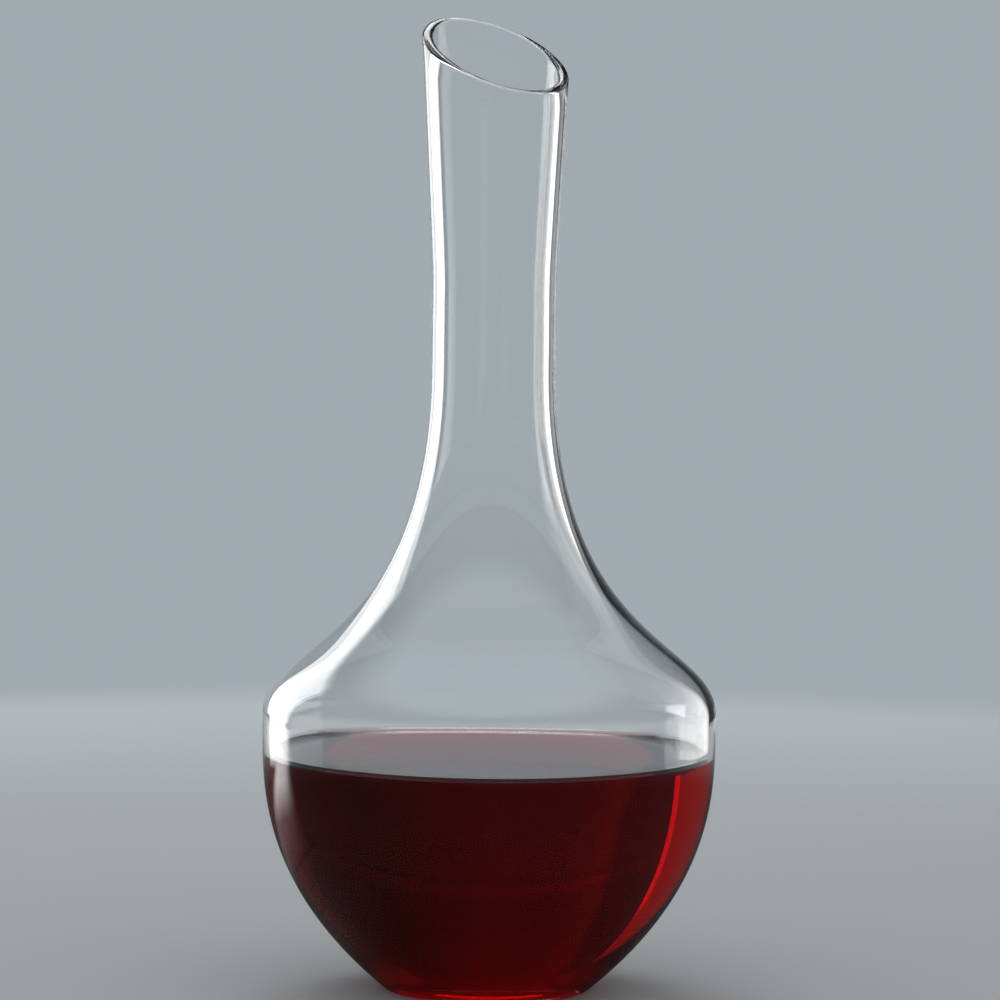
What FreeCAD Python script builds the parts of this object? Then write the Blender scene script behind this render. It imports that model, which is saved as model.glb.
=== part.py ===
import FreeCAD, Part
import math
import os

# A wine decanter: one blown glass vessel with a slanted mouth, and the wine that stands in it.
# Millimetres. +Z is up, the origin is the middle of the ring that the vessel stands on,
# and the rim's low side faces -Y.

# Foot
foot_radius = 31.5          # outer edge of the standing ring
ring_width = 4.5            # flat ring between the punt and the bowl's outside
punt_depth = 2.2            # hollow under the foot, at the middle
heel_round = 3.0            # rounding between the standing ring and the bowl
ring_round = 1.5            # rounding between the standing ring and the punt

# Outside of the bowl, shoulder and neck
bowl_start_angle = 39.5     # degrees from level, where the bowl leaves the foot
bowl_foot_pull = 52.5       # how far the curve holds that direction
bowl_belly_pull = 20.0      # how far it stays upright below the widest point
belly_radius = 69.9         # widest outside radius
belly_height = 85.0         # height of the widest point
shoulder_belly_pull = 24.8  # how far it stays upright above the widest point
shoulder_neck_pull = 86.2   # how far it stays upright below the waist
waist_radius = 19.15        # narrowest outside radius
waist_height = 192.5        # height of the narrowest point
neck_waist_pull = 45.0      # how far it stays upright above the waist
neck_mouth_pull = 116.5     # how far the mouth's direction holds below the blank's top
blank_radius = 23.75        # outside radius at the blank's top, before the slant is cut
blank_height = 312.0        # how tall the vessel is blown, before the slant is cut
flare_angle = 2.8           # degrees, how far the mouth opens from upright

# Glass
wall = 2.0                  # wall of the bowl, up to the belly
neck_wall = 3.4             # wall of the waist and the mouth, which the shoulder thickens to
floor_height = 5.0          # top of the glass floor
floor_round = 25.0          # rounding between the floor and the inside of the bowl

# Slanted mouth
rim_centre_height = 287.8   # height of the slanted cut on the axis
rim_slant = 28.0            # degrees from level
rim_round = 1.3             # fire-polished rounding of the two rim edges
rim_land = 0.2              # least flat left between the two roundings

# Wine
wine_level = 72.7           # height of the wine's surface
wine_wall_gap = 0.0         # the wine wets the glass


def at(radius, height):
    """A point of the profile, in the X-Z plane."""
    return FreeCAD.Vector(radius, 0, height)


def line(start, end):
    return Part.LineSegment(start, end).toShape()


def curve(start, start_pull, end_pull, end):
    """A cubic curve that leaves start along start_pull and arrives at end from end + end_pull."""
    bezier = Part.BezierCurve()
    bezier.setPoles([start, start + start_pull, end + end_pull, end])
    return bezier.toShape()


def upward(length):
    return FreeCAD.Vector(0, 0, length)


def sloped(length, degrees_from_level):
    angle = math.radians(degrees_from_level)
    return FreeCAD.Vector(length * math.cos(angle), 0, length * math.sin(angle))


def turned(edges):
    """The solid that a closed profile sweeps round the Z axis."""
    face = Part.Face(Part.Wire(edges))
    return face.revolve(FreeCAD.Vector(0, 0, 0), FreeCAD.Vector(0, 0, 1), 360)


def outside_edges():
    """From the foot's outer edge up to the blank's top."""
    foot = at(foot_radius, 0)
    belly = at(belly_radius, belly_height)
    waist = at(waist_radius, waist_height)
    top = at(blank_radius, blank_height)
    bowl = curve(foot, sloped(bowl_foot_pull, bowl_start_angle), upward(-bowl_belly_pull), belly)
    shoulder = curve(belly, upward(shoulder_belly_pull), upward(-shoulder_neck_pull), waist)
    neck = curve(waist, upward(neck_waist_pull), sloped(-neck_mouth_pull, 90 - flare_angle), top)
    return [bowl, shoulder, neck]


def inside_edges(gap):
    """From the foot up to the blank's top, the wall and a gap further in than the outside."""
    step = wall + gap
    neck_step = neck_wall + gap
    slope = math.radians(bowl_start_angle)
    flare = math.radians(flare_angle)
    foot = at(foot_radius - step * math.sin(slope), step * math.cos(slope))
    belly = at(belly_radius - step, belly_height)
    waist = at(waist_radius - neck_step, waist_height)
    top = at(blank_radius - neck_step / math.cos(flare), blank_height)
    bowl_pull = sloped(bowl_foot_pull - step / 2, bowl_start_angle)
    bowl = curve(foot, bowl_pull, upward(-bowl_belly_pull), belly)
    shoulder = curve(belly, upward(shoulder_belly_pull - step), upward(-shoulder_neck_pull), waist)
    neck = curve(waist, upward(neck_waist_pull), sloped(-neck_mouth_pull, 90 - flare_angle), top)
    return [bowl, shoulder, neck]


def hollow(gap):
    """The solid that would fill the vessel's inside, with its level floor."""
    edges = inside_edges(gap)
    foot = edges[0].Vertexes[0].Point
    top = edges[-1].Vertexes[-1].Point
    foot_centre = at(0, foot.z)
    top_centre = at(0, top.z)
    closing = [line(top, top_centre), line(top_centre, foot_centre), line(foot_centre, foot)]
    form = turned(edges + closing)
    floor = floor_height + gap
    above = Part.makeCylinder(2 * belly_radius, blank_height, at(0, floor))
    form = form.common(above)
    return rounded(form, circles_at(form, floor), floor_round)


def blank():
    """The vessel before its mouth is cut: solid outside form with the punt, less the hollow."""
    ring_inner = foot_radius - ring_width
    punt_top = at(0, punt_depth)
    punt_edge = at(ring_inner, 0)
    chord = math.hypot(ring_inner, punt_depth)
    punt_curve_radius = chord * chord / (2 * punt_depth)
    half_angle = math.asin(ring_inner / punt_curve_radius) / 2
    punt_middle = at(punt_curve_radius * math.sin(half_angle),
                     punt_depth - punt_curve_radius * (1 - math.cos(half_angle)))
    punt = Part.Arc(punt_top, punt_middle, punt_edge).toShape()
    ring = line(punt_edge, at(foot_radius, 0))
    outside = outside_edges()
    axis_top = at(0, blank_height)
    lid = line(at(blank_radius, blank_height), axis_top)
    form = turned([punt, ring] + outside + [lid, line(axis_top, punt_top)])
    form = rounded(form, [min(circles_at(form, 0), key=reach)], ring_round)
    form = rounded(form, [max(circles_at(form, 0), key=reach)], heel_round)
    return form.cut(hollow(0))


def circles_at(shape, height):
    """The round edges at one height, about the Z axis."""
    found = []
    for edge in shape.Edges:
        box = edge.BoundBox
        if abs(box.ZMin - height) < 0.01 and abs(box.ZMax - height) < 0.01:
            found.append(edge)
    return found


def reach(edge):
    """How far out an edge goes."""
    return edge.BoundBox.XMax


def rounded(shape, edges, radius):
    return shape.makeFillet(radius, edges)


def slant_cutter():
    """A block that covers everything above the slanted plane of the mouth."""
    reach = 4 * blank_radius
    depth = 2 * reach
    block = Part.makeBox(2 * reach, 2 * reach, depth, FreeCAD.Vector(-reach, -reach, 0))
    block.rotate(FreeCAD.Vector(0, 0, 0), FreeCAD.Vector(1, 0, 0), rim_slant)
    block.translate(FreeCAD.Vector(0, 0, rim_centre_height))
    return block


def rim_edges(shape):
    """The inner and outer edges of the slanted rim face."""
    normal = FreeCAD.Vector(0, -math.sin(math.radians(rim_slant)), math.cos(math.radians(rim_slant)))
    found = []
    for face in shape.Faces:
        flat = isinstance(face.Surface, Part.Plane)
        if flat and abs(face.Surface.Axis.dot(normal)) > 0.9999:
            found += face.Edges
    return found


def glass_vessel():
    trimmed = blank().cut(slant_cutter())
    radius = min(rim_round, (neck_wall - rim_land) / 2)
    return rounded(trimmed, rim_edges(trimmed), radius)


def red_wine():
    below = Part.makeCylinder(2 * belly_radius, wine_level)
    return hollow(wine_wall_gap).common(below)


os.makedirs("parts", exist_ok=True)
for name, make in (("glass_vessel", glass_vessel), ("red_wine", red_wine)):
    shape = make()
    solid = shape.Solids[0]
    solid.exportStep("parts/" + name + ".step")
    box = solid.BoundBox
    print(name, "solids", len(shape.Solids), "valid", solid.isValid(),
          "volume ml %.1f" % (solid.Volume / 1000),
          "z %.2f to %.2f" % (box.ZMin, box.ZMax), "width %.2f" % box.XLength)
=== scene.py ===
import bpy
import math
import numpy as np
from mathutils import Matrix, Vector


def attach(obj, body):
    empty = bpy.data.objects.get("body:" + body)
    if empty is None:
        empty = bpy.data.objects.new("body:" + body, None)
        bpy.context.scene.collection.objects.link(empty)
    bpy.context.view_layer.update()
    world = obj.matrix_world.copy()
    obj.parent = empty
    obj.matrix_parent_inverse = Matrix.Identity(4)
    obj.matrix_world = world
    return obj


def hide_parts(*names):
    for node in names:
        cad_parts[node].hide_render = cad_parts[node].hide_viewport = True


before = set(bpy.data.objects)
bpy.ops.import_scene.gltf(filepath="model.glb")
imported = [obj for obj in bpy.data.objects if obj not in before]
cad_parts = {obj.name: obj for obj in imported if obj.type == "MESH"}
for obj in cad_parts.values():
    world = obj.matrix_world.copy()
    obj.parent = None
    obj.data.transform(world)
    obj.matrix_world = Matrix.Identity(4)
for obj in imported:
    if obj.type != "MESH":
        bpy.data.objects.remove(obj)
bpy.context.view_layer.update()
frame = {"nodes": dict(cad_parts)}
mm = 0.001
scene = bpy.context.scene
print("frame loaded:", ", ".join(frame["nodes"]))

# the vessel's outline in millimetres and degrees: the solid's sizes, with the rim a hundredth lower to stay in its box
glass = {
    "foot": 31.5, "ring": 4.5, "punt": 2.2, "heel": 3.0,
    "bowlAngle": 39.5, "bowlFootPull": 52.5, "bowlBellyPull": 20.0,
    "belly": 69.9, "bellyHeight": 85.0, "shoulderBellyPull": 24.8, "shoulderNeckPull": 86.2,
    "waist": 19.15, "waistHeight": 192.5, "neckWaistPull": 45.0, "neckMouthPull": 116.5,
    "blank": 23.75, "blankHeight": 312.0, "flare": 2.8,
    "wall": 2.0, "neckWall": 3.4, "floor": 5.0, "floorRound": 25.0,
    "rimHeight": 287.79, "slant": 28.0, "rimRound": 1.3,
    "around": 240,
    "rows": {"punt": 26, "ring": 6, "heel": 10, "bowl": 60, "shoulder": 64, "neck": 36, "rim": 10, "inside": 84},
    "floorReach": 50.0,     # the floor's rounding ends within this radius
    # how far the inside of the wall wanders, by waves of (times round, height for a radian, strength, start)
    "waviness": 0.0135, "waves": [(3, 31.0, 1.0, 0.0), (5, -19.0, 0.7, 1.3), (2, 11.0, 0.5, 4.0)],
    "waveFoot": 40.0, "waveTop": 270.0, "waveFade": 60.0,
    "ior": 1.51,
    "detail": {"across": 34.0, "upward": 15.0, "depth": 0.00003, "smear": 0.02},
}

theta = np.linspace(0.0, 2.0 * np.pi, glass["around"], endpoint=False)
halvings = 40


def cubic(points, t):
    # cubic Bezier: the four points weighted by (1-t)^3, 3t(1-t)^2, 3t^2(1-t), t^3
    t = np.asarray(t)[..., None]
    p = np.asarray(points, dtype=float)
    return (1 - t) ** 3 * p[0] + 3 * t * (1 - t) ** 2 * p[1] + 3 * t * t * (1 - t) * p[2] + t ** 3 * p[3]


def outline(step, neckStep):
    # control points (radius, height) of bowl, shoulder and neck, a step further in than the outside
    g = glass
    slope = math.radians(g["bowlAngle"])
    flare = math.radians(g["flare"])
    foot = np.array([g["foot"] - step * math.sin(slope), step * math.cos(slope)])
    bowlPull = (g["bowlFootPull"] - step / 2) * np.array([math.cos(slope), math.sin(slope)])
    belly = np.array([g["belly"] - step, g["bellyHeight"]])
    waist = np.array([g["waist"] - neckStep, g["waistHeight"]])
    top = np.array([g["blank"] - neckStep / math.cos(flare), g["blankHeight"]])
    up = np.array([0.0, 1.0])
    mouthPull = g["neckMouthPull"] * np.array([math.sin(flare), math.cos(flare)])
    bowl = [foot, foot + bowlPull, belly - g["bowlBellyPull"] * up, belly]
    shoulder = [belly, belly + (g["shoulderBellyPull"] - step) * up, waist - g["shoulderNeckPull"] * up, waist]
    neck = [waist, waist + g["neckWaistPull"] * up, top - mouthPull, top]
    return bowl, shoulder, neck


def reachHeight(neck, height):
    # for each angle, how far along the neck's curve a height is met, by halving the interval;
    # height is a function of the radius there
    low = np.zeros_like(theta)
    high = np.ones_like(theta)
    for _ in range(halvings):
        middle = (low + high) / 2
        point = cubic(neck, middle)
        above = point[:, 1] > height(point[:, 0])
        high = np.where(above, middle, high)
        low = np.where(above, low, middle)
    return (low + high) / 2


def rimPlane(radius):
    # height of the slanted cut: rim height + tan(slant) * radius * sin(angle)
    return glass["rimHeight"] + math.tan(math.radians(glass["slant"])) * radius * np.sin(theta)


def rimCorner(neck, side):
    # the rounding of one edge of the cut, side +1 outside or -1 inside: a circle that touches the wall and the
    # cut, centre = corner - radius * (wall normal + cut normal) / (1 + their dot product)
    end = reachHeight(neck, rimPlane)
    corner = cubic(neck, end)
    along = cubic(neck, end + 0.001) - cubic(neck, end - 0.001)
    along /= np.hypot(along[:, 0], along[:, 1])[:, None]
    wallNormal = side * np.stack([along[:, 1], -along[:, 0]], 1)
    rise = math.tan(math.radians(glass["slant"])) * np.sin(theta)
    cutNormal = np.stack([-rise, np.ones_like(rise)], 1) / np.hypot(rise, 1.0)[:, None]
    share = 1.0 + np.sum(wallNormal * cutNormal, axis=1)[:, None]
    centre = corner - glass["rimRound"] * (wallNormal + cutNormal) / share
    touch = centre[:, 1] + glass["rimRound"] * wallNormal[:, 1]
    return (centre, np.arctan2(wallNormal[:, 1], wallNormal[:, 0]), np.arctan2(cutNormal[:, 1], cutNormal[:, 0]),
            reachHeight(neck, lambda radius: touch))


def rows(points):
    # a plain outline (n, 2) spread round the axis: radius and height grids of n rows
    return (np.repeat(points[:, :1], len(theta), axis=1), np.repeat(points[:, 1:], len(theta), axis=1))


def neckRows(neck, end, count):
    # the neck's curve from the waist to where the rim's rounding begins, its own length at every angle
    share = np.linspace(0.0, 1.0, count)[1:, None]
    point = cubic(neck, share * end[None, :])
    return point[..., 0], point[..., 1]


def arcRows(centre, start, stop, turns):
    # circle round a centre: centre + radius * (cos, sin) of angles between start and stop
    turn = start + (stop - start) * turns[:, None]
    return centre[:, 0] + glass["rimRound"] * np.cos(turn), centre[:, 1] + glass["rimRound"] * np.sin(turn)


def footOutline():
    # punt arc, flat ring and heel rounding, from the axis outwards
    g = glass
    count = g["rows"]
    ringInner = g["foot"] - g["ring"]
    arcRadius = (ringInner ** 2 + g["punt"] ** 2) / (2 * g["punt"])
    r = np.linspace(0.0, ringInner, count["punt"])
    punt = np.stack([r, g["punt"] - arcRadius + np.sqrt(arcRadius ** 2 - r ** 2)], 1)
    slope = math.radians(g["bowlAngle"])
    tangent = g["heel"] * math.tan(slope / 2)
    flat = np.linspace(ringInner + 0.3, g["foot"] - tangent, count["ring"])
    ring = np.stack([flat, np.zeros(count["ring"])], 1)
    turn = np.linspace(0.0, slope, count["heel"])[1:]
    heel = np.stack([g["foot"] - tangent + g["heel"] * np.sin(turn), g["heel"] * (1 - np.cos(turn))], 1)
    return np.vstack([punt, ring, heel]), tangent


def insideLow():
    # inside of floor and bowl up to the belly, from the axis outwards, in rows of even length:
    # height = larger of level floor and wall's own curve + overlap^2 * reach / 2, which rounds their corner
    g = glass
    bowl = outline(g["wall"], g["neckWall"])[0]
    curve = cubic(bowl, np.linspace(0.0, 1.0, 600))
    start = curve[0]
    slope = math.radians(g["bowlAngle"])
    reach = g["floorRound"] * math.tan(slope / 2) * math.sin(slope)
    radius = np.linspace(0.0, g["floorReach"], 400)
    beyond = start[1] - (start[0] - radius) * math.tan(slope)
    wallHeight = np.where(radius < start[0], beyond, np.interp(radius, curve[:, 0], curve[:, 1]))
    overlap = np.clip(1.0 - np.abs(g["floor"] - wallHeight) / (2 * reach), 0.0, 1.0)
    height = np.maximum(g["floor"], wallHeight) + overlap ** 2 * reach / 2
    floorPart = np.stack([radius, height], 1)
    rest = curve[curve[:, 0] > g["floorReach"]]
    full = np.vstack([floorPart, rest[rest[:, 1] > floorPart[-1, 1]]])
    length = np.concatenate([[0.0], np.cumsum(np.hypot(*np.diff(full, axis=0).T))])
    even = np.linspace(0.0, length[-1], g["rows"]["inside"])
    return np.stack([np.interp(even, length, full[:, 0]), np.interp(even, length, full[:, 1])], 1)


def wander(radius, height):
    # the inside of a blown wall isn't quite true: radius - waviness * (sum of slow waves in angle and height +
    # their greatest sum), fading out towards the floor and the rim, so the wall only ever gets thicker
    g = glass
    swing = sum(strength * np.sin(times * theta[None, :] + height / reach + start)
                for times, reach, strength, start in g["waves"])
    most = sum(strength for times, reach, strength, start in g["waves"])
    fade = np.clip(height / g["waveFoot"], 0.0, 1.0) * np.clip((g["waveTop"] - height) / g["waveFade"], 0.0, 1.0)
    return radius - g["waviness"] * (swing + most) * fade


def splitAt(points, height):
    # an outline cut where it passes a height: the part below and the part above, sharing the cut point
    i = int(np.argmax(points[:, 1] > height))
    share = (height - points[i - 1, 1]) / (points[i, 1] - points[i - 1, 1])
    cut = points[i - 1] + share * (points[i] - points[i - 1])
    return np.vstack([points[:i], cut]), np.vstack([cut, points[i:]])


def turnedMesh(name, grids, materials, slots):
    # rings of the given radius and height joined by quads, with a fan at each pole; slots says which material
    # the faces below each row take
    radius = np.vstack([g[0] for g in grids]) * mm
    height = np.vstack([g[1] for g in grids]) * mm
    count, around = radius.shape[0], len(theta)
    inner = slice(1, count - 1)
    x = radius[inner] * np.cos(theta)
    y = radius[inner] * np.sin(theta)
    ring = np.stack([x, y, height[inner]], -1).reshape(-1, 3)
    poles = np.array([[0.0, 0.0, height[0, 0]], [0.0, 0.0, height[-1, 0]]])
    points = np.vstack([ring, poles])
    index = np.arange((count - 2) * around).reshape(count - 2, around)
    following = np.roll(index, -1, axis=1)
    quads = np.stack([index[:-1], following[:-1], following[1:], index[1:]], -1).reshape(-1, 4)
    first = np.stack([np.full(around, len(ring)), following[0], index[0]], -1)
    last = np.stack([np.full(around, len(ring) + 1), index[-1], following[-1]], -1)
    mesh = bpy.data.meshes.new(name)
    mesh.from_pydata(points.tolist(), [], quads.tolist() + first.tolist() + last.tolist())
    for material in materials:
        mesh.materials.append(material)
    bands = np.asarray(slots)
    perFace = np.concatenate([np.repeat(bands[1:count - 2], around), np.repeat(bands[0], around),
                              np.repeat(bands[count - 2], around)])
    mesh.polygons.foreach_set("material_index", perFace.astype(np.int32))
    mesh.polygons.foreach_set("use_smooth", np.ones(len(perFace), dtype=bool))
    mesh.update()
    piece = bpy.data.objects.new(name, mesh)
    scene.collection.objects.link(piece)
    return piece


def bandSlots(grids, slotOfGrid):
    # one slot number per band of faces between neighbouring rows, by the grid that the band starts in
    numbers = []
    for grid, number in zip(grids, slotOfGrid):
        numbers += [number] * grid[0].shape[0]
    return numbers[:-1]


def feed(tree, value, entry):
    # a socket is linked, a plain value becomes the entry's own
    if isinstance(value, bpy.types.NodeSocket):
        tree.links.new(value, entry)
    else:
        entry.default_value = value


def calc(tree, operation, *values):
    # a math node on numbers or sockets
    node = tree.nodes.new("ShaderNodeMath")
    node.operation = operation
    for value, entry in zip(values, node.inputs):
        feed(tree, value, entry)
    return node.outputs[0]


def vectorCalc(tree, operation, *values):
    # a vector math node on vectors or sockets
    node = tree.nodes.new("ShaderNodeVectorMath")
    node.operation = operation
    for value, entry in zip(values, node.inputs):
        feed(tree, value, entry)
    return node.outputs["Value" if operation == "LENGTH" else "Vector"]


def smoothShare(tree, value, low, high, start=0.0, stop=1.0):
    # start below low, stop above high, and an S-shaped change between them
    node = tree.nodes.new("ShaderNodeMapRange")
    node.interpolation_type = "SMOOTHSTEP"
    tree.links.new(value, node.inputs["Value"])
    for name, number in (("From Min", low), ("From Max", high), ("To Min", start), ("To Max", stop)):
        node.inputs[name].default_value = number
    return node.outputs["Result"]


def mixColours(tree, share, first, second):
    # the first colour where the share is 0, the second where it is 1
    node = tree.nodes.new("ShaderNodeMix")
    node.data_type = "RGBA"
    for value, name in ((share, "Factor"), (first, "A"), (second, "B")):
        feed(tree, value, node.inputs[name])
    return node.outputs["Result"]


def mixShaders(tree, share, first, second):
    # the first shader where the share is 0, the second where it is 1
    node = tree.nodes.new("ShaderNodeMixShader")
    for value, entry in zip((share, first, second), node.inputs):
        tree.links.new(value, entry)
    return node.outputs[0]


def makeNoise(tree, place, settings):
    # a noise texture of a place
    noise = tree.nodes.new("ShaderNodeTexNoise")
    for name, value in settings.items():
        noise.inputs[name].default_value = value
    tree.links.new(place, noise.inputs["Vector"])
    return noise.outputs["Fac"]


def makeSlowWaves():
    # height of slow waves over a surface, noise of the place drawn out along the upright, and a mask of a few smears
    tree = bpy.data.node_groups.new("slowWaves", "ShaderNodeTree")
    for name, kind in (("Place", "NodeSocketVector"), ("Across", "NodeSocketFloat"), ("Upward", "NodeSocketFloat")):
        tree.interface.new_socket(name, in_out="INPUT", socket_type=kind)
    for name in ("Height", "Smear"):
        tree.interface.new_socket(name, in_out="OUTPUT", socket_type="NodeSocketFloat")
    entry = tree.nodes.new("NodeGroupInput")
    scale = tree.nodes.new("ShaderNodeCombineXYZ")
    for name, part in zip(("Across", "Across", "Upward"), scale.inputs):
        tree.links.new(entry.outputs[name], part)
    stretched = vectorCalc(tree, "MULTIPLY", entry.outputs["Place"], scale.outputs[0])
    waves = makeNoise(tree, stretched, {"Scale": 1.0, "Detail": 1.0, "Roughness": 0.35})
    smears = makeNoise(tree, stretched, {"Scale": 3.1, "Detail": 3.0, "Distortion": 0.8})
    leave = tree.nodes.new("NodeGroupOutput")
    tree.links.new(waves, leave.inputs["Height"])
    tree.links.new(smoothShare(tree, smears, 0.58, 0.72), leave.inputs["Smear"])
    return tree


def newMaterial(name):
    # a material with its node tree and its Principled shader
    material = bpy.data.materials.new(name)
    material.use_nodes = True
    return material, material.node_tree, material.node_tree.nodes["Principled BSDF"]


def refracting(name, ior):
    # a clear, polished material that bends light by the given index
    material, tree, shader = newMaterial(name)
    shader.inputs["Base Color"].default_value = (1.0, 1.0, 1.0, 1.0)
    shader.inputs["Roughness"].default_value = 0.0
    shader.inputs["IOR"].default_value = ior
    shader.inputs["Transmission Weight"].default_value = 1.0
    return material, tree, shader


def clearGlass(name, ior, detail):
    # the slow waves bump the normal, and the few smears take the shine down a little
    material, tree, shader = refracting(name, ior)
    place = tree.nodes.new("ShaderNodeTexCoord")
    waves = tree.nodes.new("ShaderNodeGroup")
    waves.node_tree = slowWaves
    waves.inputs["Across"].default_value = detail["across"]
    waves.inputs["Upward"].default_value = detail["upward"]
    tree.links.new(place.outputs["Object"], waves.inputs["Place"])
    bump = tree.nodes.new("ShaderNodeBump")
    bump.inputs["Strength"].default_value = 1.0
    bump.inputs["Distance"].default_value = detail["depth"]
    tree.links.new(waves.outputs["Height"], bump.inputs["Height"])
    tree.links.new(bump.outputs["Normal"], shader.inputs["Normal"])
    if detail["smear"] > 0.0:
        tree.links.new(calc(tree, "MULTIPLY", waves.outputs["Smear"], detail["smear"]), shader.inputs["Roughness"])
    return material


# the wine: how high it stands, how it climbs the wall, and how close it comes to the glass
wine = {
    "level": 72.7, "climb": 1.7, "climbReach": 2.2,
    "gap": 0.03, "skinGap": 0.02, "skin": 0.04, "edge": 0.01,
    "surfaceRows": 50, "crowding": 2.2,      # rows from the wall inwards, crowded towards the wall
    "colour": (0.80, 0.0, 0.05, 1.0), "density": 92.0, "ior": 1.345,
    "detail": {"across": 22.0, "upward": 22.0, "depth": 0.00002, "smear": 0.0},
}


def wineBody():
    # the wine's inside swallows light by its depth; it bends none, since the wetted glass and the skin do that
    material, tree, _ = refracting("redWine", 1.0)
    absorb = tree.nodes.new("ShaderNodeVolumeAbsorption")
    absorb.inputs["Color"].default_value = wine["colour"]
    absorb.inputs["Density"].default_value = wine["density"]
    tree.links.new(absorb.outputs["Volume"], tree.nodes["Material Output"].inputs["Volume"])
    return material


slowWaves = makeSlowWaves()
glassInAir = clearGlass("clearGlass", glass["ior"], glass["detail"])
glassInWine = clearGlass("clearGlassWetted", glass["ior"] / wine["ior"], glass["detail"])
wineMaterial = wineBody()
wineSkinMaterial = clearGlass("wineSkin", wine["ior"], wine["detail"])
wineUnderMaterial = clearGlass("wineUnderSkin", 1.0, wine["detail"])
print("materials made")


def makeVessel():
    # outline from the pole of the punt up the outside, over the rim and down the inside to the pole of the floor;
    # the inside below the wine's edge takes the wetted glass
    count = glass["rows"]
    outerBowl, outerShoulder, outerNeck = outline(0.0, 0.0)
    _, innerShoulder, innerNeck = outline(glass["wall"], glass["neckWall"])
    foot, tangent = footOutline()
    firstStep = tangent / (3 * glass["bowlFootPull"])
    bowl = cubic(outerBowl, np.linspace(firstStep, 1.0, count["bowl"])[1:])
    shoulder = cubic(outerShoulder, np.linspace(0.0, 1.0, count["shoulder"])[1:])
    shoulderIn = cubic(innerShoulder, np.linspace(0.0, 1.0, count["shoulder"])[1:])
    outerCentre, outerWall, outerCut, outerEnd = rimCorner(outerNeck, 1.0)
    innerCentre, innerWall, innerCut, innerEnd = rimCorner(innerNeck, -1.0)
    innerWall = np.where(innerWall < 0.0, innerWall + 2.0 * np.pi, innerWall)
    neckOut = neckRows(outerNeck, outerEnd, count["neck"])
    neckIn = neckRows(innerNeck, innerEnd, count["neck"])
    turns = np.linspace(0.0, 1.0, count["rim"])
    rimOut = arcRows(outerCentre, outerWall, outerCut, turns[1:])
    rimIn = arcRows(innerCentre, innerCut, innerWall, turns[:-1])
    below, above = splitAt(insideLow(), wine["level"] + wine["climb"])
    inside = [(neckIn[0][::-1], neckIn[1][::-1]), rows(shoulderIn[::-1]), rows(above[::-1])]
    wetted = rows(below[::-1][1:])
    inside = [(wander(r, z), z) for r, z in inside]
    wetted = (np.maximum(wander(*wetted), 0.0), wetted[1])
    grids = [rows(foot), rows(bowl), rows(shoulder), neckOut, rimOut, rimIn] + inside + [wetted]
    slots = bandSlots(grids, [0] * (len(grids) - 1) + [1])
    return turnedMesh("glassVessel", grids, [glassInAir, glassInWine], slots)


vessel = makeVessel()
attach(vessel, "root")
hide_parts("glass_vessel")
print("vessel made:", len(vessel.data.polygons), "faces")


def inwards(points, gap):
    # an outline moved a gap towards the inside, square to itself
    along = np.gradient(points, axis=0)
    along /= np.hypot(along[:, 0], along[:, 1])[:, None]
    moved = points + gap * np.stack([-along[:, 1], along[:, 0]], 1)
    moved[0, 0] = 0.0
    return moved


def wineSurface(edgeRadius, lift):
    # level + climb * exp(-(distance from the wall) / climbReach) + lift, from the wall to the middle
    share = np.linspace(0.0, 1.0, wine["surfaceRows"])
    distance = (share ** wine["crowding"])[:, None] * edgeRadius
    height = wine["level"] + wine["climb"] * np.exp(-distance / wine["climbReach"]) + lift
    return edgeRadius - distance, height * np.ones_like(edgeRadius)


def makeWine():
    # the body follows the inside of the vessel a gap away and closes with the surface; the skin is a thin slab
    # over it, wine above and nothing below, so that the surface mirrors and bends light once
    top = wine["level"] + wine["climb"]
    below, _ = splitAt(insideLow(), top)
    side = rows(inwards(below, wine["gap"]))
    side = (np.maximum(wander(*side), 0.0), np.minimum(side[1], top))
    edge = side[0][-1:]
    radius, height = wineSurface(edge, 0.0)
    grids = [side, (radius[1:], height[1:])]
    body = turnedMesh("wineBody", grids, [wineMaterial], bandSlots(grids, [0, 0]))
    skinEdge = edge + wine["gap"] - wine["edge"]
    over = wineSurface(skinEdge, wine["skinGap"] + wine["skin"])
    under = wineSurface(skinEdge, wine["skinGap"])
    grids = [(under[0][::-1], under[1][::-1]), over]
    skin = turnedMesh("wineSkin", grids, [wineSkinMaterial, wineUnderMaterial], bandSlots(grids, [1, 0]))
    return body, skin


wineBodyPiece, wineSkinPiece = makeWine()
for piece in (wineBodyPiece, wineSkinPiece):
    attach(piece, "root")
    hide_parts("red_wine")
print("wine made")


# the camera's place is given in millimetres and degrees, seen from the decanter's foot
camera = {
    "azimuth": -34.92, "distance": 1539.0, "height": 279.7, "pitch": 4.767, "roll": 0.632, "yaw": 0.096,
    "lens": 180.8, "sensor": 36.0, "near": 0.05,
}

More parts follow.
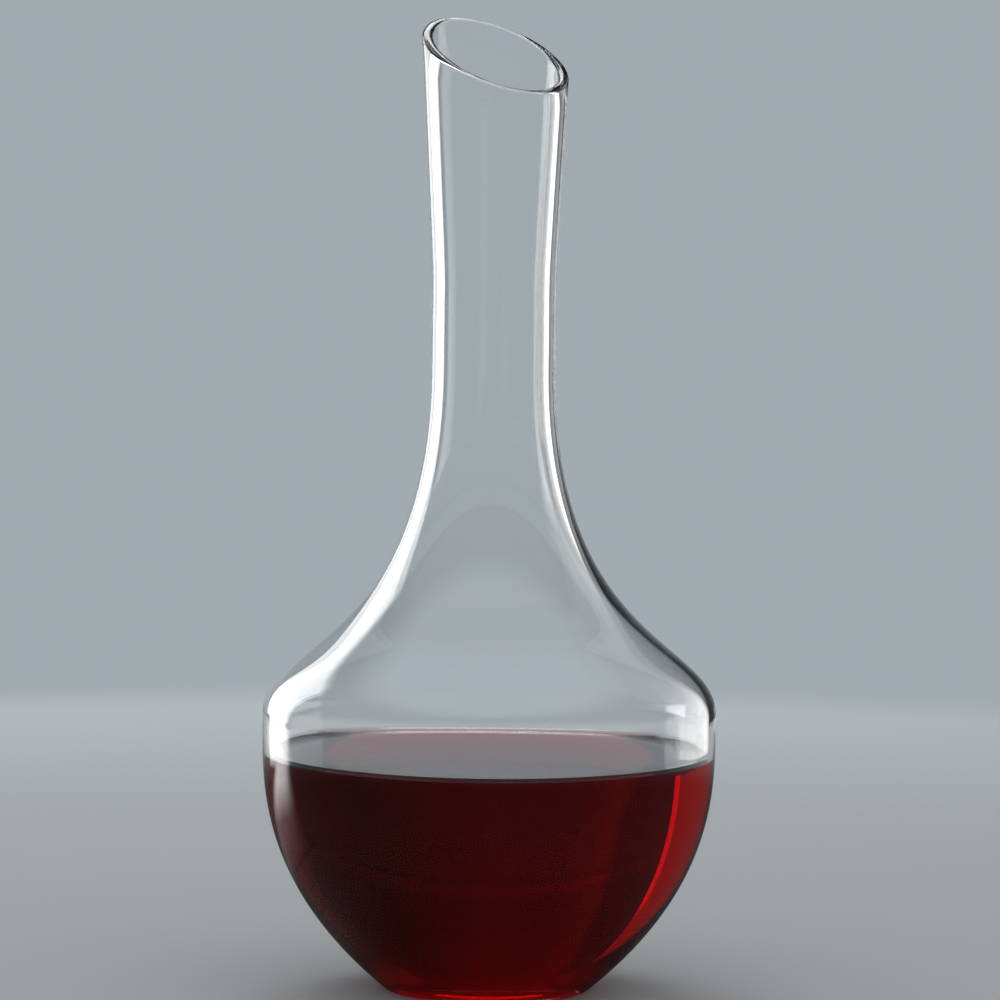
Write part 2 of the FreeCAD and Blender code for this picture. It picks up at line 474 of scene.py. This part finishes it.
# painted light and shade that only reflections and refractions show, as tones on the backdrop's colour; the camera
# sees the backdrop plain:
# (degrees to the right of straight behind the decanter, tone) as seen through clear glass, through the wine and
# mirrored in the glass, and (degrees above the horizon, tone) for all three; from "steepFrom" to
# "steepTo" degrees up, the tone for the angle round goes over into the even one
room = {
    "backdrop": (0.36, 0.405, 0.435), "ambient": 0.7,
    "table": (0.46, 0.50, 0.52), "tableShine": 0.35, "tableRoughness": 0.45, "tableRadius": 0.74, "blur": 0.05,
    # card: a painted dark reflection of the table, seen in the glass only
    "cardRadius": 0.7, "cardHeight": 0.0005, "cardStrength": 0.85, "sides": 64,
    # tones under 1 are painted shade, such as the dark band from 16 to 36 degrees right, and tones over 1 are painted
    # light, such as the bright zone from 60 degrees up
    "through": [(-180, 0.85), (-60, 0.85), (-31, 0.75), (-19, 0.75), (-18, 1.0), (0, 1.0), (8, 1.0), (13, 1.1),
                (16, 0.3), (36, 0.3), (40, 0.85), (180, 0.85)],
    "throughWine": [(-180, 0.8), (-60, 0.7), (-19, 0.7), (-18, 1.45), (-11, 1.0), (0, 1.0), (9, 0.6),
                    (16, 0.35), (36, 0.35), (40, 0.8), (180, 0.8)],
    "mirrored": [(-180, 0.8), (-60, 0.7), (-31, 0.7), (-18, 1.0), (8, 1.0), (10, 0.08), (36, 0.08), (40, 0.8),
                 (180, 0.8)],
    "high": [(-90, 1.0), (6.5, 1.0), (7.3, 0.7), (8.1, 1.3), (10, 0.8), (20, 0.7), (45, 0.7), (60, 3.0), (90, 3.0)],
    "steepFrom": 35.0, "steepTo": 55.0, "evenTone": 0.8,
    "wineDepth": 4.5,      # light that has been bent more often than this has come through the wine
}

# light panels in metres: upright ones face the decanter, ones with "lie" are level at that height, and low ones shine
# upwards only; "right" is in degrees right of straight behind the decanter; "light" is (place, strength) by height
# above the table, or by length for a level one; "wine" is the share that comes straight through the wine
panels = [
    {"name": "windowPanel", "right": -45.0, "distance": 1.15, "width": 0.60, "soft": 0.01, "wine": 0.35,
     "light": [(0.0, 3.2), (0.88, 3.2), (0.95, 0.4)]},
    {"name": "windowEdge", "right": -31.5, "distance": 1.12, "width": 0.05, "soft": 0.2, "wine": 1.0,
     "light": [(0.0, 3.4), (0.4, 3.4), (0.5, 0.0)]},
    {"name": "nearPanel", "right": -52.0, "distance": 0.40, "width": 0.165, "soft": 0.1, "wine": 0.0,
     "light": [(0.0, 0.0), (0.008, 0.0), (0.022, 3.2), (0.34, 3.2), (0.42, 0.0)]},
    {"name": "sidePanel", "right": 56.0, "distance": 0.55, "width": 0.38, "soft": 0.08, "wine": 0.1,
     "light": [(0.0, 1.6), (0.18, 1.6), (0.4, 0.5), (0.9, 0.3)]},
    {"name": "tablePanel", "right": -57.0, "distance": 0.12, "width": 0.17, "soft": 0.35, "lie": 0.001,
     "light": [(0.0, 0.0), (0.1, 0.25), (0.25, 2.6), (0.6, 3.2)]},
    {"name": "topPanel", "right": -10.0, "distance": 0.65, "width": 0.9, "soft": 0.1, "lie": 1.2,
     "light": [(0.0, 5.0), (0.5, 5.0)]},
]
lowPanel = 0.1      # a level panel under this height is a low one


def fromCamera(right, away, up):
    # a place given as right of and away from the camera's side, turned into the part's frame
    turn = math.radians(camera["azimuth"])
    return Vector((right * math.cos(turn) - away * math.sin(turn),
                   right * math.sin(turn) + away * math.cos(turn), up))


def makeCamera():
    # looks at the decanter's axis, then turned by yaw, tipped down by pitch and leaned over by roll
    pitch, roll, yaw = (math.radians(camera[k]) for k in ("pitch", "roll", "yaw"))
    away = fromCamera(math.sin(yaw) * math.cos(pitch), math.cos(yaw) * math.cos(pitch), -math.sin(pitch))
    right = fromCamera(math.cos(yaw), -math.sin(yaw), 0.0)
    up = right.cross(away)
    rolledRight = math.cos(roll) * right + math.sin(roll) * up
    rolledUp = -math.sin(roll) * right + math.cos(roll) * up
    data = bpy.data.cameras.new("camera")
    data.sensor_width = camera["sensor"]
    data.lens = camera["lens"]
    data.clip_start = camera["near"]
    item = bpy.data.objects.new("camera", data)
    scene.collection.objects.link(item)
    place = Matrix((rolledRight, rolledUp, -away)).transposed().to_4x4()
    place.translation = fromCamera(0.0, -camera["distance"] * mm, camera["height"] * mm)
    item.matrix_world = place
    scene.camera = item


def flatPiece(name, corners):
    # one flat face with an empty material of its own, which the camera doesn't see and which casts no shadow
    mesh = bpy.data.meshes.new(name)
    mesh.from_pydata(corners, [], [tuple(range(len(corners)))])
    item = bpy.data.objects.new(name, mesh)
    scene.collection.objects.link(item)
    material = bpy.data.materials.new(name)
    material.use_nodes = True
    material.node_tree.nodes.clear()
    mesh.materials.append(material)
    item.visible_camera = False
    item.visible_shadow = False
    return item, material.node_tree


def glowOrClear(tree, share, strength):
    # an even white glow where the share is 1, nothing at all where it is 0
    glow = tree.nodes.new("ShaderNodeEmission")
    glow.inputs["Strength"].default_value = strength
    clear = tree.nodes.new("ShaderNodeBsdfTransparent")
    output = tree.nodes.new("ShaderNodeOutputMaterial")
    tree.links.new(mixShaders(tree, share, clear.outputs[0], glow.outputs[0]), output.inputs["Surface"])


def toneRamp(tree, share, stops):
    # a colour ramp from (place, tone) pairs, whose first and last places stand for a share of 0 and of 1;
    # gives the ramp's colour, which is tone / top tone, and the top tone
    first, last = stops[0][0], stops[-1][0]
    most = max(tone for place, tone in stops)
    ramp = tree.nodes.new("ShaderNodeValToRGB")
    elements = ramp.color_ramp.elements
    while len(elements) < len(stops):
        elements.new(0.5)
    for element, (place, tone) in zip(elements, stops):
        element.position = (place - first) / (last - first)
        element.color = (tone / most, tone / most, tone / most, 1.0)
    tree.links.new(share, ramp.inputs[0])
    return ramp.outputs["Color"], most


def panelShare(tree, panel):
    # how much of a panel a ray sees: a low one all of it from above; an upright one all of it once mirrored, its
    # "wine" share through the wine, and none of it straight through clear glass
    if panel.get("lie", 0.0) > lowPanel:
        return 1.0
    if "lie" in panel:
        geometry = tree.nodes.new("ShaderNodeNewGeometry")
        return calc(tree, "SUBTRACT", 1.0, geometry.outputs["Backfacing"])
    path = tree.nodes.new("ShaderNodeLightPath")
    mirrored = calc(tree, "GREATER_THAN", path.outputs["Glossy Depth"], 0.5)
    inWine = calc(tree, "GREATER_THAN", path.outputs["Transmission Depth"], room["wineDepth"])
    return calc(tree, "MAXIMUM", mirrored, calc(tree, "MULTIPLY", inWine, panel["wine"]))


def makePanel(panel):
    # a rectangle square to the line from the decanter, or one that lies level and runs away from it
    angle = math.radians(panel["right"])
    tall = panel["light"][-1][0]
    corners = []
    for across, up in ((-0.5, 0), (0.5, 0), (0.5, 1), (-0.5, 1)):
        away = panel["distance"] + (up * tall if "lie" in panel else 0.0)
        aside = across * panel["width"]
        corners.append(fromCamera(math.sin(angle) * away + math.cos(angle) * aside,
                                  math.cos(angle) * away - math.sin(angle) * aside, panel.get("lie", up * tall)))
    item, tree = flatPiece(panel["name"], corners)
    uv = item.data.uv_layers.new(name="panel")
    uv.data.foreach_set("uv", [0.0, 0.0, 1.0, 0.0, 1.0, 1.0, 0.0, 1.0])
    place = tree.nodes.new("ShaderNodeUVMap")
    place.uv_map = "panel"
    split = tree.nodes.new("ShaderNodeSeparateXYZ")
    tree.links.new(place.outputs["UV"], split.inputs[0])
    light, most = toneRamp(tree, split.outputs["Y"], panel["light"])
    fromEdge = calc(tree, "PINGPONG", split.outputs["X"], 0.5)
    light = calc(tree, "MULTIPLY", light, smoothShare(tree, fromEdge, 0.0, panel["soft"]))
    glowOrClear(tree, calc(tree, "MULTIPLY", light, panelShare(tree, panel)), most)
    item.visible_diffuse = panel["name"] == "topPanel"      # it alone lights the table, the rest show in the glass


def makeDarkReflectionCard():
    # painted dark reflection: a black card under the decanter that only reflections see, so the table's brightness
    # stays off the dark wine
    reach, sides = room["cardRadius"], room["sides"]
    turn = np.linspace(0.0, 2.0 * np.pi, sides, endpoint=False)
    rim = np.stack([reach * np.cos(turn), reach * np.sin(turn), np.full(sides, room["cardHeight"])], -1)
    item, tree = flatPiece("card", rim.tolist())
    place = tree.nodes.new("ShaderNodeTexCoord")
    length = vectorCalc(tree, "LENGTH", place.outputs["Object"])
    glowOrClear(tree, smoothShare(tree, length, reach * 0.5, reach, room["cardStrength"], 0.0), 0.0)
    item.visible_diffuse = False
    item.visible_transmission = False


def angleTone(tree, angle, stops):
    # the tone for an angle in radians, from (degrees, tone) pairs
    share = tree.nodes.new("ShaderNodeMapRange")
    share.inputs["From Min"].default_value = math.radians(stops[0][0])
    share.inputs["From Max"].default_value = math.radians(stops[-1][0])
    tree.links.new(angle, share.inputs["Value"])
    return toneRamp(tree, share.outputs["Result"], stops)


def makePaintedTone(name):
    # painted light and shade on the backdrop in a direction, which the camera never sees directly: its own colour *
    # tone for the angle round the decanter * tone for the angle above the horizon
    tree = bpy.data.node_groups.new(name, "ShaderNodeTree")
    tree.interface.new_socket("Direction", in_out="INPUT", socket_type="NodeSocketVector")
    tree.interface.new_socket("Color", in_out="OUTPUT", socket_type="NodeSocketColor")
    entry = tree.nodes.new("NodeGroupInput")
    turn = tree.nodes.new("ShaderNodeVectorRotate")     # into a frame where X is straight behind and Y is left
    turn.rotation_type = "Z_AXIS"
    turn.inputs["Angle"].default_value = -math.radians(90.0 + camera["azimuth"])
    tree.links.new(entry.outputs[0], turn.inputs["Vector"])
    level = tree.nodes.new("ShaderNodeSeparateXYZ")
    tree.links.new(turn.outputs[0], level.inputs[0])
    right = calc(tree, "MULTIPLY", level.outputs["Y"], -1.0)
    around, mostAround = angleTone(tree, calc(tree, "ARCTAN2", right, level.outputs["X"]), room[name])
    upright = tree.nodes.new("ShaderNodeSeparateXYZ")
    tree.links.new(vectorCalc(tree, "NORMALIZE", entry.outputs[0]), upright.inputs[0])
    rise = calc(tree, "ARCSINE", upright.outputs["Z"])
    high, mostHigh = angleTone(tree, rise, room["high"])
    steep = smoothShare(tree, rise, math.radians(room["steepFrom"]), math.radians(room["steepTo"]))
    even = room["evenTone"] / mostAround
    around = mixColours(tree, steep, around, (even, even, even, 1.0))
    tone = vectorCalc(tree, "MULTIPLY", around, high)
    tint = [mostAround * mostHigh * part for part in room["backdrop"]]
    leave = tree.nodes.new("NodeGroupOutput")
    tree.links.new(vectorCalc(tree, "MULTIPLY", tone, tint), leave.inputs[0])
    return tree


def backdropAndPaintedTones(tree, direction):
    # the plain backdrop's colour where the camera sees it directly, with painted light and shade where it is seen in
    # the glass
    path = tree.nodes.new("ShaderNodeLightPath")
    seen = {}
    for name, group in paintedTones.items():
        tone = tree.nodes.new("ShaderNodeGroup")
        tone.node_tree = group
        tree.links.new(direction, tone.inputs["Direction"])
        seen[name] = tone.outputs["Color"]
    inWine = calc(tree, "GREATER_THAN", path.outputs["Transmission Depth"], room["wineDepth"])
    mirrored = calc(tree, "GREATER_THAN", path.outputs["Glossy Depth"], 0.5)
    straight = mixColours(tree, inWine, seen["through"], seen["throughWine"])
    toned = mixColours(tree, mirrored, straight, seen["mirrored"])
    return mixColours(tree, path.outputs["Is Camera Ray"], toned, (*room["backdrop"], 1.0))


def seenRay(tree):
    # 1 for rays that show the background: from the camera, or reflected or refracted on the way
    path = tree.nodes.new("ShaderNodeLightPath")
    direct = calc(tree, "MAXIMUM", path.outputs["Is Camera Ray"], path.outputs["Is Glossy Ray"])
    return calc(tree, "MAXIMUM", direct, path.outputs["Is Transmission Ray"])


def makeWorld():
    # even white light on everything, and the backdrop's colour, with its painted light and shade in the glass, for the
    # rays that show it
    world = bpy.data.worlds.new("room")
    scene.world = world
    world.use_nodes = True
    tree = world.node_tree
    ambient = tree.nodes["Background"]
    ambient.inputs["Color"].default_value = (1.0, 1.0, 1.0, 1.0)
    ambient.inputs["Strength"].default_value = room["ambient"]
    backdrop = tree.nodes.new("ShaderNodeBackground")
    place = tree.nodes.new("ShaderNodeTexCoord")
    tree.links.new(backdropAndPaintedTones(tree, place.outputs["Generated"]), backdrop.inputs["Color"])
    both = mixShaders(tree, seenRay(tree), ambient.outputs[0], backdrop.outputs[0])
    tree.links.new(both, tree.nodes["World Output"].inputs["Surface"])


def makeTable():
    # a wide flat ring grid about the origin, whose colour goes over into the backdrop's past the table's edge
    sides = room["sides"]
    reach = np.concatenate([np.linspace(0.0, 1.0, 12)[1:], np.array([2.0, 5.0, 20.0])])
    turn = np.linspace(0.0, 2.0 * np.pi, sides, endpoint=False)
    ring = np.stack([np.outer(reach, np.cos(turn)), np.outer(reach, np.sin(turn)),
                     np.zeros((len(reach), sides))], -1).reshape(-1, 3)
    points = np.vstack([ring, [[0.0, 0.0, 0.0]]])
    index = np.arange(len(reach) * sides).reshape(len(reach), sides)
    following = np.roll(index, -1, axis=1)
    quads = np.stack([index[:-1], index[1:], following[1:], following[:-1]], -1).reshape(-1, 4)
    fan = np.stack([np.full(sides, len(ring)), index[0], following[0]], -1)
    mesh = bpy.data.meshes.new("table")
    mesh.from_pydata(points.tolist(), [], quads.tolist() + fan.tolist())
    item = bpy.data.objects.new("table", mesh)
    scene.collection.objects.link(item)
    material, tree, shader = newMaterial("tableTop")
    shader.inputs["Base Color"].default_value = (*room["table"], 1.0)
    shader.inputs["Roughness"].default_value = room["tableRoughness"]
    shader.inputs["Specular IOR Level"].default_value = room["tableShine"]
    place = tree.nodes.new("ShaderNodeTexCoord")
    length = vectorCalc(tree, "LENGTH", place.outputs["Object"])
    past = smoothShare(tree, length, room["tableRadius"] - room["blur"], room["tableRadius"] + room["blur"])
    glow = tree.nodes.new("ShaderNodeEmission")
    tree.links.new(backdropAndPaintedTones(tree, place.outputs["Object"]), glow.inputs["Color"])
    both = mixShaders(tree, past, shader.outputs[0], glow.outputs[0])
    tree.links.new(both, tree.nodes["Material Output"].inputs["Surface"])
    mesh.materials.append(material)


makeCamera()
for panel in panels:
    makePanel(panel)
paintedTones = {name: makePaintedTone(name) for name in ("through", "throughWine", "mirrored")}
makeWorld()
makeTable()
makeDarkReflectionCard()
scene.view_settings.view_transform = "Standard"
scene.cycles.use_denoising = True
scene.cycles.max_bounces = 64
scene.cycles.transmission_bounces = 64
scene.cycles.glossy_bounces = 64
print("room made")
